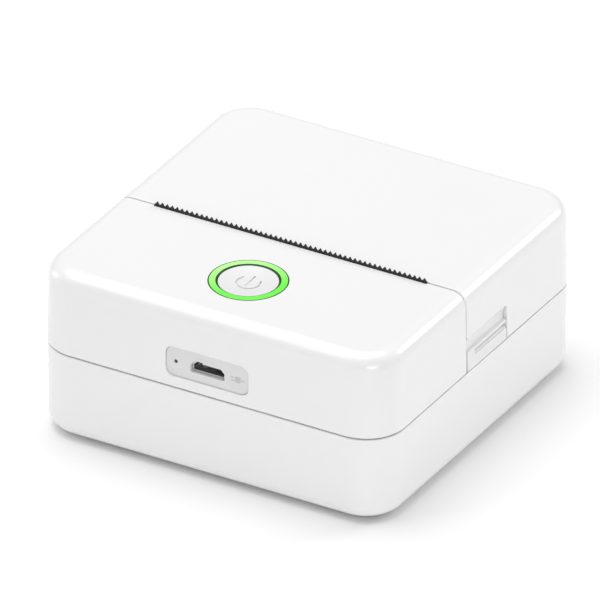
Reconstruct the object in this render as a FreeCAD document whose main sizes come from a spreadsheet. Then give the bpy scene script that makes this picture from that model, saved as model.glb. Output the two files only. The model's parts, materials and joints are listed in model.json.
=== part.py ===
import FreeCAD, Part
import math
import os
import re

import Sketcher
from FreeCAD import Placement, Rotation, Vector

# Thermal label printer: a square pocket printer for narrow rolls of labels.
# Millimetres, +Z up, +X to the right of its front face, +Y towards its back.
# The origin is on the table, under the middle of the case.

# Driving dimensions -----------------------------------------------------------------

SIZES = {
    # case, outside
    "body_width": 80.0,
    "body_depth": 80.0,
    "corner_radius": 8.7,
    "lower_height": 18.8,
    "upper_height": 18.2,
    "draft_angle": 0.8,
    "top_round": 3.2,
    "bottom_round": 3.2,
    "case_wall": 2.0,
    "base_floor": 2.0,
    "roof_thickness": 2.0,
    "seam_gap": 0.3,
    "edge_round": 0.25,
    "split_ahead": 6.45,
    "split_gap": 0.4,
    "foot_height": 0.8,
    "foot_radius": 4.0,
    "foot_inset": 14.0,
    # rim that keeps dust out of the seam
    "tongue_wall": 1.0,
    "tongue_height": 1.2,
    "tongue_gap": 0.25,
    "tongue_root": 3.0,
    "tongue_back_gap": 4.4,
    # hinge
    "hinge_above_seam": 2.3,
    "hinge_inset": 2.0,
    "barrel_radius": 2.0,
    "barrel_half_span": 33.0,
    "lug_radius": 1.85,
    "lug_width": 5.0,
    "lug_offset": 23.0,
    "lug_gap": 0.3,
    "hinge_pin_radius": 0.75,
    "running_gap": 0.05,
    # power button and its light
    "button_ahead": 23.4,
    "button_radius": 6.1,
    "ring_inner": 6.3,
    "ring_outer": 8.0,
    "ring_gap": 0.1,
    "button_travel": 0.5,
    "button_dish": 0.55,
    "button_thickness": 1.6,
    "mark_radius": 2.4,
    "mark_line": 0.4,
    "mark_depth": 0.2,
    # port panel, USB socket and charge light
    "panel_width": 18.9,
    "panel_height": 6.6,
    "panel_radius": 1.9,
    "panel_above_seam": 5.75,
    "panel_sunk": 0.5,
    "panel_gap": 0.1,
    "usb_width": 7.5,
    "usb_height": 2.5,
    "usb_length": 5.6,
    "usb_shell": 0.3,
    "charge_offset": 7.2,
    "charge_radius": 0.45,
    "charge_sunk": 0.4,
    "usb_sunk": 0.7,
    # tear bar
    "blade_half": 31.0,
    "blade_thickness": 0.45,
    "tooth_count": 55.0,
    "tooth_height": 0.55,
    "blade_rise": 0.9,
    # platen
    "platen_y": -1.85,
    "platen_up": 8.9,
    "platen_radius": 4.5,
    "platen_length": 57.0,
    "shaft_radius": 1.5,
    "bush_radius": 2.9,
    # inner frame plates and the lid's arms, counted from the middle
    "arm_inner": 29.0,
    "arm_outer": 30.1,
    "plate_inner": 30.3,
    "plate_outer": 31.5,
    # gears
    "gear_module": 0.5,
    "platen_teeth": 20.0,
    "idler_teeth": 24.0,
    "wheel_teeth": 30.0,
    "pinion_teeth": 12.0,
    "near_layer": 31.8,
    "far_layer": 33.8,
    "gear_width": 1.6,
    "compound_direction": 197.0,
    "motor_direction": 190.0,
    "motor_radius": 7.5,
    "motor_length": 12.0,
    "motor_ear_reach": 8.9,
    "motor_ear_radius": 1.9,
    # paper tub
    "tub_half": 29.7,
    "tub_radius": 15.5,
    "tub_wall": 1.0,
    "tub_from_back": 23.0,
    "tub_up": 0.8,
    # print head
    "head_half": 27.0,
    "head_gap": 0.2,
    "ceramic_thickness": 0.9,
    "sink_thickness": 2.0,
    "head_up": 3.0,
    "head_tall": 10.7,
    "pivot_up": 1.8,
    "pivot_radius": 0.8,
    "spring_offset": 16.0,
    "spring_up": 10.2,
    # latch on the right side
    "latch_back": 9.56,
    "latch_top": 7.8,
    "latch_corner": 0.95,
    "latch_smooth": 2.8,
    "latch_gap": 0.25,
    "latch_pivot_in": 3.8,
    "latch_pivot_up": 9.2,
    "latch_pin_radius": 0.6,
    # boards and battery
    "board_thickness": 1.0,
    "board_half": 27.0,
    "board_back": 16.0,
    "battery_left": 13.5,
    "battery_width": 41.0,
    "battery_depth": 20.0,
    "battery_height": 9.0,
    "screw_radius": 1.0,
    "small_screw": 0.7,
}

# Places worked out from them ---------------------------------------------------------

PLACES = {
    "half_width": "body_width / 2",
    "half_depth": "body_depth / 2",
    "seam_z": "foot_height + lower_height",
    "top_z": "seam_z + upper_height",
    "floor_z": "foot_height + base_floor",
    "roof_z": "top_z - roof_thickness",
    "cover_edge": "-split_ahead - split_gap / 2",
    "lid_edge": "-split_ahead + split_gap / 2",
    "hinge_y": "half_depth - hinge_inset",
    "hinge_z": "seam_z + hinge_above_seam",
    "button_y": "-button_ahead",
    "panel_z": "seam_z + panel_above_seam",
    "panel_floor": "-half_depth + panel_sunk",
    "inside_half": "half_width - case_wall",
    "board_z": "panel_z - usb_height / 2 - board_thickness",
    "tip_z": "top_z + blade_rise",
    "tooth_pitch": "2 * blade_half / tooth_count",
    "latch_window": "seam_z + latch_top",
    "latch_pivot_z": "seam_z + latch_pivot_up",
    "switch_board_z": "roof_z - 5.6",
    "cap_top": "top_z - 0.05",
    "head_face": "platen_y - platen_radius - head_gap",
    "pivot_y": "head_face - ceramic_thickness - sink_thickness / 2",
    "platen_z": "seam_z + platen_up",
    "tub_y": "half_depth - tub_from_back",
    "tub_z": "seam_z + tub_up",
    "head_low": "seam_z + head_up",
    "pivot_z": "seam_z + pivot_up",
    "spring_z": "seam_z + spring_up",
    "latch_pivot_x": "half_width - latch_pivot_in",
    "catch_x": "half_width - latch_pivot_in - 1.3",
    "plate_low": "floor_z + 1.2",
    "wall_front": "platen_y - 12.65",
    "board_front": "-half_depth + case_wall + 0.8",
    "battery_front": "-half_depth + case_wall + 2",
}

doc = FreeCAD.newDocument("LabelPrinter")
nodes = []

sheet = doc.addObject("Spreadsheet::Sheet", "Sizes")
for row, (word, value) in enumerate(SIZES.items(), start=1):
    sheet.set("A%d" % row, word)
    sheet.set("B%d" % row, str(value))
    sheet.setAlias("B%d" % row, word)
doc.recompute()


def formula(text):
    """Write the sheet's and the place table's names in full, as FreeCAD's expressions want them."""
    def full(match):
        word = match.group(0)
        if word in SIZES:
            return "Sizes." + word
        if word in PLACES:
            return "Places." + word
        return word
    return re.sub(r"[A-Za-z_][A-Za-z_0-9]*", full, str(text))


places = doc.addObject("App::VarSet", "Places")
for word, text in PLACES.items():
    places.addProperty("App::PropertyFloat", word, "Places")
    places.setExpression(word, formula(text))
doc.recompute()

probe = doc.addObject("App::VarSet", "Probe")
probe.addProperty("App::PropertyFloat", "Value", "Probe")


def number(text):
    """The present value of a formula, in millimetres or degrees."""
    probe.setExpression("Value", formula(text))
    probe.recompute()
    return probe.Value


def bind(piece, formulas):
    for name, text in formulas.items():
        piece.setExpression(name, formula(text))


def place_at(piece, corner):
    bind(piece, {"Placement.Base." + axis: text for axis, text in zip("xyz", corner)})


def box(name, corner, lengths):
    """A block from its lowest corner, with its lengths along X, Y and Z."""
    piece = doc.addObject("Part::Box", name)
    bind(piece, dict(zip(("Length", "Width", "Height"), lengths)))
    place_at(piece, corner)
    return piece


TURNS = {
    "x": Rotation(Vector(0, 1, 0), 90),
    "y": Rotation(Vector(1, 0, 0), -90),
    "z": Rotation(),
}


def cylinder(name, axis, start, radius, length):
    """A round bar that runs from start along the named axis."""
    piece = doc.addObject("Part::Cylinder", name)
    piece.Placement = Placement(Vector(), TURNS[axis])
    bind(piece, {"Radius": radius, "Height": length})
    place_at(piece, start)
    return piece


def fuse(name, pieces):
    joined = doc.addObject("Part::MultiFuse", name)
    joined.Shapes = pieces
    return joined


def cut(name, base, tools):
    tool = tools[0] if len(tools) == 1 else fuse(name + "_tools", tools)
    result = doc.addObject("Part::Cut", name)
    result.Base = base
    result.Tool = tool
    return result


def softened(piece, radius, wanted):
    """The piece with a round on each edge that passes the test."""
    doc.recompute()
    rounded = doc.addObject("Part::Fillet", piece.Name + "_soft")
    rounded.Base = piece
    rounded.Edges = [(index, radius, radius) for index, edge in enumerate(piece.Shape.Edges, start=1)
                     if wanted(edge)]
    return rounded


def keep(piece, label):
    """Make a piece one of the printer's sub-parts."""
    piece.Label = label
    nodes.append(piece)
    return piece


def shaped(label, shape):
    """A sub-part whose outline no stock feature gives."""
    piece = doc.addObject("Part::Feature", label)
    piece.Shape = shape
    piece.Placement = Placement()
    return keep(piece, label)


# Sketched bodies ---------------------------------------------------------------------

PLANES = {"z": "XY_Plane", "y": "XZ_Plane", "x": "YZ_Plane"}


def start_body(name):
    return doc.addObject("PartDesign::Body", name)


def sketch_on(body, name, axis, offset):
    """A sketch square to an axis, offset along the plane's own normal."""
    sketch = body.newObject("Sketcher::SketchObject", name)
    plane = [f for f in body.Origin.OriginFeatures if f.Role == PLANES[axis]][0]
    sketch.AttachmentSupport = [(plane, "")]
    sketch.MapMode = "FlatFace"
    bind(sketch, {"AttachmentOffset.Base.z": offset})
    return sketch


def name_size(sketch, constraint, word, text):
    index = sketch.addConstraint(constraint)
    sketch.renameConstraint(index, word)
    bind(sketch, {"Constraints." + word: text})


def rounded_outline(sketch, edges, radius, prefix=""):
    """A rectangle with four equal round corners; edges are its left, right, low and high sides."""
    left, right, low, high = [number(text) for text in edges]
    bend = number(radius)
    first = sketch.GeometryCount
    corners = [(left, low), (right, low), (right, high), (left, high)]
    ways = [(1, 0), (0, 1), (-1, 0), (0, -1)]
    centres = [(right - bend, low + bend), (right - bend, high - bend),
               (left + bend, high - bend), (left + bend, low + bend)]
    for side in range(4):
        (ax, ay), (bx, by) = corners[side], corners[(side + 1) % 4]
        dx, dy = ways[side]
        begin = Vector(ax + dx * bend, ay + dy * bend, 0)
        end = Vector(bx - dx * bend, by - dy * bend, 0)
        sketch.addGeometry(Part.LineSegment(begin, end), False)
        cx, cy = centres[side]
        circle = Part.Circle(Vector(cx, cy, 0), Vector(0, 0, 1), bend)
        angle = (side - 1) * math.pi / 2
        sketch.addGeometry(Part.ArcOfCircle(circle, angle, angle + math.pi / 2), False)
    for side in range(4):
        line = first + 2 * side
        arc = line + 1
        following = first + (2 * side + 2) % 8
        sketch.addConstraint(Sketcher.Constraint("Tangent", line, 2, arc, 1))
        sketch.addConstraint(Sketcher.Constraint("Tangent", arc, 2, following, 1))
        flat = "Horizontal" if side % 2 == 0 else "Vertical"
        sketch.addConstraint(Sketcher.Constraint(flat, line))
        if side:
            sketch.addConstraint(Sketcher.Constraint("Equal", first + 1, arc))
    name_size(sketch, Sketcher.Constraint("Radius", first + 1, bend), prefix + "bend", radius)
    sides = [("low", "DistanceY", 0, low, edges[2]), ("right", "DistanceX", 2, right, edges[1]),
             ("high", "DistanceY", 4, high, edges[3]), ("left", "DistanceX", 6, left, edges[0])]
    for word, kind, line, value, text in sides:
        name_size(sketch, Sketcher.Constraint(kind, -1, 1, first + line, 1, value), prefix + word, text)


def round_outline(sketch, centre, radius):
    """A circle; centre is two formulas in the sketch's own plane."""
    across, along = [number(text) for text in centre]
    size = number(radius)
    index = sketch.addGeometry(Part.Circle(Vector(across, along, 0), Vector(0, 0, 1), size), False)
    tag = "round%d" % index
    name_size(sketch, Sketcher.Constraint("Radius", index, size), tag + "_radius", radius)
    if abs(across) < 1e-9:
        sketch.addConstraint(Sketcher.Constraint("PointOnObject", index, 3, -2))
    else:
        name_size(sketch, Sketcher.Constraint("DistanceX", -1, 1, index, 3, across), tag + "_x", centre[0])
    name_size(sketch, Sketcher.Constraint("DistanceY", -1, 1, index, 3, along), tag + "_y", centre[1])


def extrude(body, kind, sketch, length, back=False, taper=None, through=False):
    """A pad or a pocket of a sketch, with its direction and taper."""
    feature = body.newObject("PartDesign::" + kind, sketch.Name + "_" + kind.lower())
    feature.Profile = sketch
    feature.Reversed = back
    if through:
        feature.Type = "ThroughAll"
    else:
        bind(feature, {"Length": length})
    if taper:
        bind(feature, {"TaperAngle": taper})
    sketch.Visibility = False
    body.Tip = feature
    doc.recompute()
    return feature


def round_edges(body, radius, wanted):
    """Round the edges of the tip whose middle passes the test."""
    base = body.Tip
    names = []
    for index, edge in enumerate(base.Shape.Edges, start=1):
        middle = edge.valueAt((edge.FirstParameter + edge.LastParameter) / 2)
        if wanted(middle, edge):
            names.append("Edge%d" % index)
    feature = body.newObject("PartDesign::Fillet", body.Name + "_round%d" % len(body.Group))
    feature.Base = (base, names)
    bind(feature, {"Radius": radius})
    body.Tip = feature
    doc.recompute()
    return feature


# Case --------------------------------------------------------------------------------

BOSS_RADIUS = 2.6
FRONT_BOSS = ("inside_half - 7.2", "-half_depth + case_wall + 4.8")
BACK_BOSS = ("inside_half - 5.5", "half_depth - case_wall - 6.5")
CHASSIS_POSTS = [("plate_inner - 3", "platen_y - 1.15"), ("-plate_inner + 3", "platen_y - 1.15"),
                 ("-plate_inner + 3", "platen_y - 9.55")]
BOARD_POSTS = [("board_half - 2.8", "board_front + 3.2"), ("-board_half + 2.8", "board_front + 3.2"),
               ("board_half - 2.8", "-board_back - 3"), ("-board_half + 2.8", "-board_back - 3")]
SWITCH_POSTS = [("11", "button_y"), ("-11", "button_y")]
FRAME_SCREWS = [("24", "5.5"), ("-24", "5.5")]
JOIN_Z = "floor_z + 9.2"


def minus(text):
    return "-(" + text + ")"


def square(inset):
    """The case's outline, inset all round."""
    side = "half_width - (%s)" % inset
    depth = "half_depth - (%s)" % inset
    return (minus(side), side, minus(depth), depth)


def bosses(body, name, low, centres, radius, length, kind="Pad", back=False):
    """Round posts or holes with one sketch."""
    sketch = sketch_on(body, name, "z", low)
    for centre in centres:
        round_outline(sketch, centre, radius)
    return extrude(body, kind, sketch, length, back=back)


def mirrored_pair(centre):
    return [centre, (minus(centre[0]), centre[1])]


def make_base():
    body = start_body("base_tray")
    rim = "seam_z - seam_gap / 2"
    outside = sketch_on(body, "base_outside", "z", rim)
    rounded_outline(outside, square("0"), "corner_radius")
    extrude(body, "Pad", outside, "lower_height - seam_gap / 2", back=True, taper="-draft_angle")
    low = number("foot_height")
    high = number(rim)
    round_edges(body, "bottom_round", lambda middle, edge: middle.z < low + 0.01)
    round_edges(body, "edge_round", lambda middle, edge: middle.z > high - 0.01)
    inside = sketch_on(body, "base_inside", "z", rim)
    rounded_outline(inside, square("case_wall"), "corner_radius - case_wall")
    extrude(body, "Pocket", inside, rim + " - floor_z", taper="-draft_angle")

    ring_back = "half_depth - tongue_back_gap"
    ring_front = "half_depth - case_wall - tongue_gap"
    inner = "inside_half - tongue_gap - tongue_wall"
    hollow = (minus(inner), inner, minus(ring_front + " - tongue_wall"), ring_back + " - tongue_wall")
    root = sketch_on(body, "tongue_root", "z", rim)
    rounded_outline(root, square("case_wall - 0.3"), "corner_radius - case_wall", "out_")
    rounded_outline(root, hollow, "corner_radius - case_wall - tongue_wall", "in_")
    extrude(body, "Pad", root, "tongue_root", back=True)
    ring = sketch_on(body, "tongue_ring", "z", rim + " - 0.5")
    outer = "inside_half - tongue_gap"
    rounded_outline(ring, (minus(outer), outer, minus(ring_front), ring_back),
                    "corner_radius - case_wall", "out_")
    rounded_outline(ring, hollow, "corner_radius - case_wall - tongue_wall", "in_")
    extrude(body, "Pad", ring, "tongue_height + 0.5")
    gap = sketch_on(body, "latch_room", "z", "seam_z + tongue_height + 1")
    rounded_outline(gap, ("inside_half - 3", "inside_half", "-split_ahead - 1.2", "latch_back + 1.2"), "0.5")
    extrude(body, "Pocket", gap, "tongue_root + tongue_height + 2")

    bosses(body, "front_bosses", "floor_z - 0.5", mirrored_pair(FRONT_BOSS), BOSS_RADIUS,
           JOIN_Z + " - floor_z + 0.5")
    bosses(body, "back_bosses", "floor_z - 0.5", mirrored_pair(BACK_BOSS), BOSS_RADIUS,
           JOIN_Z + " - floor_z + 0.5")
    bosses(body, "chassis_posts", "floor_z - 0.5", CHASSIS_POSTS, BOSS_RADIUS, "2.5")
    outer_screws = mirrored_pair(FRONT_BOSS) + mirrored_pair(BACK_BOSS)
    bosses(body, "screw_holes", "foot_height - 1", outer_screws, "screw_radius + 0.1", "20", "Pocket", True)
    bosses(body, "screw_sinks", "foot_height - 1", outer_screws, "screw_radius * 2 + 0.2", "2.4", "Pocket",
           True)
    bosses(body, "post_holes", "floor_z + 3", CHASSIS_POSTS, "screw_radius", "4", "Pocket")

    lugs = []
    holes = []
    for side, sign in (("right", 1), ("left", -1)):
        start = "%d * lug_offset - lug_width / 2" % sign
        lugs.append(box("lug_stem_" + side, (start, "hinge_y - lug_radius", "seam_z - 6"),
                        ("lug_width", "2 * lug_radius", "6 + hinge_above_seam")))
        lugs.append(cylinder("lug_eye_" + side, "x", (start, "hinge_y", "hinge_z"), "lug_radius",
                             "lug_width"))
        holes.append(cylinder("lug_hole_" + side, "x", (start + " - 1", "hinge_y", "hinge_z"),
                              "hinge_pin_radius + running_gap", "lug_width + 2"))
    keep(cut("base_case", fuse("base_with_lugs", [body] + lugs), holes), "base_case")


def upper_shell(name, front):
    """The upper half of the case on one side of the split."""
    body = start_body(name)
    rim = "seam_z + seam_gap / 2"
    outside = sketch_on(body, name + "_outside", "z", rim)
    rounded_outline(outside, square("0"), "corner_radius")
    extrude(body, "Pad", outside, "top_z - (%s)" % rim, taper="-draft_angle")
    low = number(rim)
    high = number("top_z")
    round_edges(body, "top_round", lambda middle, edge: middle.z > high - 0.01)
    inside = sketch_on(body, name + "_inside", "z", rim)
    rounded_outline(inside, square("case_wall"), "corner_radius - case_wall")
    extrude(body, "Pocket", inside, "roof_z - (%s)" % rim, back=True, taper="-draft_angle")
    split = sketch_on(body, name + "_split", "z", "top_z + 1")
    edges = ("cover_edge", "half_depth + 5") if front else ("-half_depth - 5", "lid_edge")
    rounded_outline(split, ("-half_width - 5", "half_width + 5") + edges, "0.5")
    extrude(body, "Pocket", split, "upper_height + 2")
    seen = number("cover_edge" if front else "lid_edge")
    wide = number("half_width - case_wall / 4")
    roof = number("roof_z + roof_thickness / 4")

    def bare(middle, edge):
        if abs(middle.y - seen) < 0.01:
            return abs(middle.x) > wide or middle.z > roof
        return middle.z < low + 0.01 and (abs(middle.x) > wide or abs(middle.y) > wide)

    round_edges(body, "edge_round", bare)
    return body


def make_cover():
    body = upper_shell("cover_shell", True)
    bosses(body, "ring_hole", "top_z + 1", [("0", "button_y")], "ring_outer + ring_gap",
           "roof_thickness + 2", "Pocket")
    window = sketch_on(body, "panel_window", "y", "half_depth + 1")
    rounded_outline(window, ("-panel_width / 2", "panel_width / 2", "panel_z - panel_height / 2",
                             "panel_z + panel_height / 2"), "panel_radius")
    extrude(body, "Pocket", window, "case_wall + 2")
    wide, tall = number("panel_width / 2 + 0.1"), number("panel_height / 2 + 0.1")
    middle_z, front = number("panel_z"), number("-half_depth + panel_sunk")
    round_edges(body, "edge_round", lambda middle, edge: middle.y < front and abs(middle.x) < wide
                and abs(middle.z - middle_z) < tall)
    notch = sketch_on(body, "blade_notch", "z", "top_z + 1")
    rounded_outline(notch, ("-blade_half - 0.15", "blade_half + 0.15", "cover_edge - blade_thickness - 0.05",
                            "cover_edge + 2"), "0.02")
    extrude(body, "Pocket", notch, "roof_thickness + 2")
    bosses(body, "cover_bosses", "roof_z + 0.5", mirrored_pair(FRONT_BOSS), BOSS_RADIUS,
           "roof_z + 0.5 - (%s) - 0.1" % JOIN_Z, back=True)
    bosses(body, "cover_pilots", "roof_z", mirrored_pair(FRONT_BOSS), "screw_radius",
           "roof_z - (%s)" % JOIN_Z, "Pocket")
    bosses(body, "board_posts", "roof_z + 0.5", BOARD_POSTS, "1.9",
           "roof_z + 0.5 - board_z - board_thickness", back=True)
    bosses(body, "board_pilots", "board_z + 7", BOARD_POSTS, "small_screw", "7", "Pocket")
    bosses(body, "switch_posts", "roof_z + 0.5", SWITCH_POSTS, "1.5",
           "roof_z + 0.5 - switch_board_z - board_thickness", back=True)
    bosses(body, "switch_pilots", "roof_z - 0.5", SWITCH_POSTS, "small_screw", "5", "Pocket")
    keep(body, "front_cover")


def make_lid():
    body = upper_shell("lid_shell", False)
    window = sketch_on(body, "latch_window", "x", "half_width + 1")
    rounded_outline(window, ("lid_edge - 4", "latch_back", "seam_z - 4", "latch_window"), "latch_corner")
    extrude(body, "Pocket", window, "case_wall + 2")

    heel = cut("heel_waste",
               box("heel_block", ("-half_width", "hinge_y", "seam_z"),
                   ("body_width", "hinge_inset + 1", "hinge_above_seam")),
               [cylinder("heel_round", "x", ("-half_width - 1", "hinge_y", "hinge_z"), "barrel_radius",
                         "body_width + 2")])
    solid = [cut("lid_heeled", body, [heel]),
             cylinder("lid_barrel", "x", ("-barrel_half_span", "hinge_y", "hinge_z"), "barrel_radius",
                      "2 * barrel_half_span")]
    ear_x = "latch_pivot_x - 1.6"
    for name, start in (("front", "lid_edge + 0.2"), ("back", "latch_back - 1.2")):
        solid.append(box("latch_ear_" + name, (ear_x, start, "latch_window + 0.2"),
                         ("inside_half + 0.4 - (%s)" % ear_x, "1.1", "3")))
    waste = []
    for side, sign in (("right", 1), ("left", -1)):
        middle = "%d * lug_offset" % sign
        waste.append(box("lug_notch_" + side,
                         (middle + " - lug_width / 2 - lug_gap", "hinge_y - barrel_radius - 0.5", "seam_z"),
                         ("lug_width + 2 * lug_gap", "hinge_inset + barrel_radius + 1",
                          "hinge_above_seam + barrel_radius + 0.3")))
        waste.append(cylinder("hinge_bore_" + side, "x", (middle + " - 7", "hinge_y", "hinge_z"),
                              "hinge_pin_radius", "14"))
    for index, (across, along) in enumerate(FRAME_SCREWS):
        waste.append(cylinder("roof_pilot_%d" % index, "z", (across, along, "roof_z - 1"), "small_screw",
                              "2.2"))
    waste.append(cylinder("latch_bore", "y", ("latch_pivot_x", "lid_edge - 1", "latch_pivot_z"),
                          "latch_pin_radius",
                          "latch_back - lid_edge + 3"))
    keep(cut("rear_lid", fuse("lid_solid", solid), waste), "rear_lid")
    pins = [cylinder("hinge_pin_" + side, "x", ("%d * lug_offset - 7" % sign, "hinge_y", "hinge_z"),
                     "hinge_pin_radius", "14") for side, sign in (("right", 1), ("left", -1))]
    keep(fuse("hinge_pins", pins), "hinge_pins")


make_base()
make_cover()
make_lid()


# Fasteners and feet ------------------------------------------------------------------

def screw(name, head, sizes, away=False):
    """A screw by the underside of its head: (head radius, head height, shank radius, shank length)."""
    head_radius, head_height, shank_radius, shank_length = sizes
    x, y, seat = head
    if away:
        top, end = seat, "(%s) - (%s)" % (seat, shank_length)
        recess = "(%s) + (%s) * 0.45" % (seat, head_height)
    else:
        top, end = "(%s) - (%s)" % (seat, head_height), seat
        recess = "(%s) - (%s)" % (top, head_height)
    long_side, short_side = "(%s) * 1.2" % head_radius, "(%s) * 0.28" % head_radius
    solid = fuse(name + "_solid", [cylinder(name + "_head", "z", (x, y, top), head_radius, head_height),
                                   cylinder(name + "_shank", "z", (x, y, end), shank_radius, shank_length)])
    slots = [box(name + "_slot_" + word,
                 ("(%s) - (%s) / 2" % (x, across), "(%s) - (%s) / 2" % (y, along), recess),
                 (across, along, "(%s) * 1.55" % head_height))
             for word, across, along in (("wide", long_side, short_side), ("deep", short_side, long_side))]
    return cut(name, solid, slots)


def make_fasteners():
    seats = mirrored_pair(FRONT_BOSS) + mirrored_pair(BACK_BOSS)
    long_screw = ("2 * screw_radius", "1", "screw_radius", "%s + 3.8 - foot_height - 1.4" % JOIN_Z)
    screws = [screw("case_screw_%d" % i, (x, y, "foot_height + 1.4"), long_screw)
              for i, (x, y) in enumerate(seats)]
    keep(fuse("case_screws", screws), "case_screws")
    short_screw = ("1.9", "0.9", "screw_radius", "3")
    screws = [screw("chassis_screw_%d" % i, (x, y, "floor_z + 3.2"), short_screw, away=True)
              for i, (x, y) in enumerate(CHASSIS_POSTS)]
    keep(fuse("chassis_screws", screws), "chassis_screws")
    tiny_screw = ("1.4", "0.8", "small_screw", "board_thickness + 3")
    seats = [(x, y, "board_z") for x, y in BOARD_POSTS] + [(x, y, "switch_board_z") for x, y in SWITCH_POSTS]
    screws = [screw("board_screw_%d" % i, seat, tiny_screw) for i, seat in enumerate(seats)]
    keep(fuse("board_screws", screws), "board_screws")
    frame_screw = ("1.4", "0.8", "small_screw", "roof_thickness + 1.2")
    screws = [screw("frame_screw_%d" % i, (x, y, "roof_z - 2.2"), frame_screw)
              for i, (x, y) in enumerate(FRAME_SCREWS)]
    keep(fuse("lid_frame_screws", screws), "lid_frame_screws")
    span = ("half_width - foot_inset", "half_depth - foot_inset")
    spots = mirrored_pair(span) + mirrored_pair((span[0], minus(span[1])))
    feet = [softened(cylinder("foot_%d" % i, "z", (x, y, "0"), "foot_radius", "foot_height"), 0.3,
                     lambda edge: edge.Curve.TypeId == "Part::GeomCircle" and edge.CenterOfMass.z < 0.01)
            for i, (x, y) in enumerate(spots)]
    keep(fuse("feet", feet), "feet")


# Button, light, port and tear bar ----------------------------------------------------

def make_button():
    seat = ("0", "button_y")
    cap = cylinder("button_cap", "z", seat + ("cap_top - button_thickness",), "button_radius",
                   "button_thickness")
    crown = number("cap_top") - 0.01
    cap = softened(cap, 0.25, lambda edge: edge.CenterOfMass.z > crown)
    stem = cylinder("button_stem", "z", seat + ("switch_board_z + 3",), "1.8",
                    "cap_top - button_thickness - switch_board_z - 2.9")
    rise = "button_dish"
    bowl = "((button_radius - 0.5) * (button_radius - 0.5) + %s * %s) / (2 * %s)" % (rise, rise, rise)
    dish = doc.addObject("Part::Sphere", "button_bowl")
    dish.Placement = Placement(Vector(), TURNS["y"])
    bind(dish, {"Radius": bowl})
    place_at(dish, seat + ("cap_top - button_dish + " + bowl,))
    low = "cap_top - button_dish - mark_depth"
    ring = cut("mark_ring", cylinder("mark_outer", "z", seat + (low,), "mark_radius + mark_line / 2", "2"),
               [cylinder("mark_inner", "z", seat + (low + " - 1",), "mark_radius - mark_line / 2", "4"),
                box("mark_gap", ("-mark_radius * 0.78", "button_y + mark_radius * 0.3", low + " - 1"),
                    ("mark_radius * 1.56", "4", "4"))])
    bar = box("mark_bar", ("-mark_line / 2", "button_y - mark_radius * 0.5", low),
              ("mark_line", "mark_radius * 1.65", "2"))
    keep(cut("power_button", fuse("button_solid", [cap, stem]), [dish, ring, bar]), "power_button")
    ring = fuse("ring_solid", [
        cylinder("ring_body", "z", seat + ("roof_z - 1",), "ring_outer", "roof_thickness + 1.05"),
        cylinder("ring_flange", "z", seat + ("roof_z - 1",), "ring_outer + 1.2", "0.95")])
    hole = cylinder("ring_bore", "z", seat + ("roof_z - 2",), "ring_inner", "6")
    crown = number("top_z")
    turned = cut("ring_turned", ring, [hole])
    keep(softened(turned, 0.3, lambda edge: edge.Curve.TypeId == "Part::GeomCircle"
                  and edge.CenterOfMass.z > crown), "light_ring")


def make_switch_board():
    disc = cylinder("switch_disc", "z", ("0", "button_y", "switch_board_z"), "ring_outer + 0.6",
                    "board_thickness")
    wings = box("switch_wings", ("-13", "button_y - 2.5", "switch_board_z"), ("26", "5", "board_thickness"))
    holes = [cylinder("switch_hole_%d" % i, "z", (x, y, "switch_board_z - 1"), "small_screw + 0.1", "4")
             for i, (x, y) in enumerate(SWITCH_POSTS)]
    keep(cut("switch_board", fuse("switch_plate", [disc, wings]), holes), "switch_board")
    top = "switch_board_z + board_thickness"
    keep(fuse("button_switch", [
        box("switch_case", ("-3", "button_y - 3", top), ("6", "6", "0.9")),
        cylinder("switch_plunger", "z", ("0", "button_y", top), "1.6", "1.4")]), "button_switch")
    lamps = []
    for index in range(8):
        angle = math.radians(45 * index + 22.5)
        x = "%.6f * (ring_inner + ring_outer) / 2 - 0.6" % math.cos(angle)
        y = "button_y + %.6f * (ring_inner + ring_outer) / 2 - 0.6" % math.sin(angle)
        lamps.append(box("lamp_%d" % index, (x, y, top), ("1.2", "1.2", "0.7")))
    keep(fuse("ring_lamps", lamps), "ring_lamps")


def socket_prism(grow, front, length):
    """The micro USB outline: wide below, with its two upper corners cut off."""
    half = number("usb_width") / 2 + grow
    low = number("panel_z - usb_height / 2") - grow
    high = number("panel_z + usb_height / 2") + grow
    bevel = 0.42 * (high - low)
    outline = [(-half, low), (half, low), (half, high - bevel), (half - bevel, high),
               (-half + bevel, high), (-half, high - bevel), (-half, low)]
    face = Part.Face(Part.makePolygon([Vector(x, front, z) for x, z in outline]))
    prism = face.extrude(Vector(0, length, 0))
    along = [edge for edge in prism.Edges if abs(edge.Vertexes[0].Y - edge.Vertexes[-1].Y) > length / 2]
    return prism.makeFillet(0.25, along)


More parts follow.
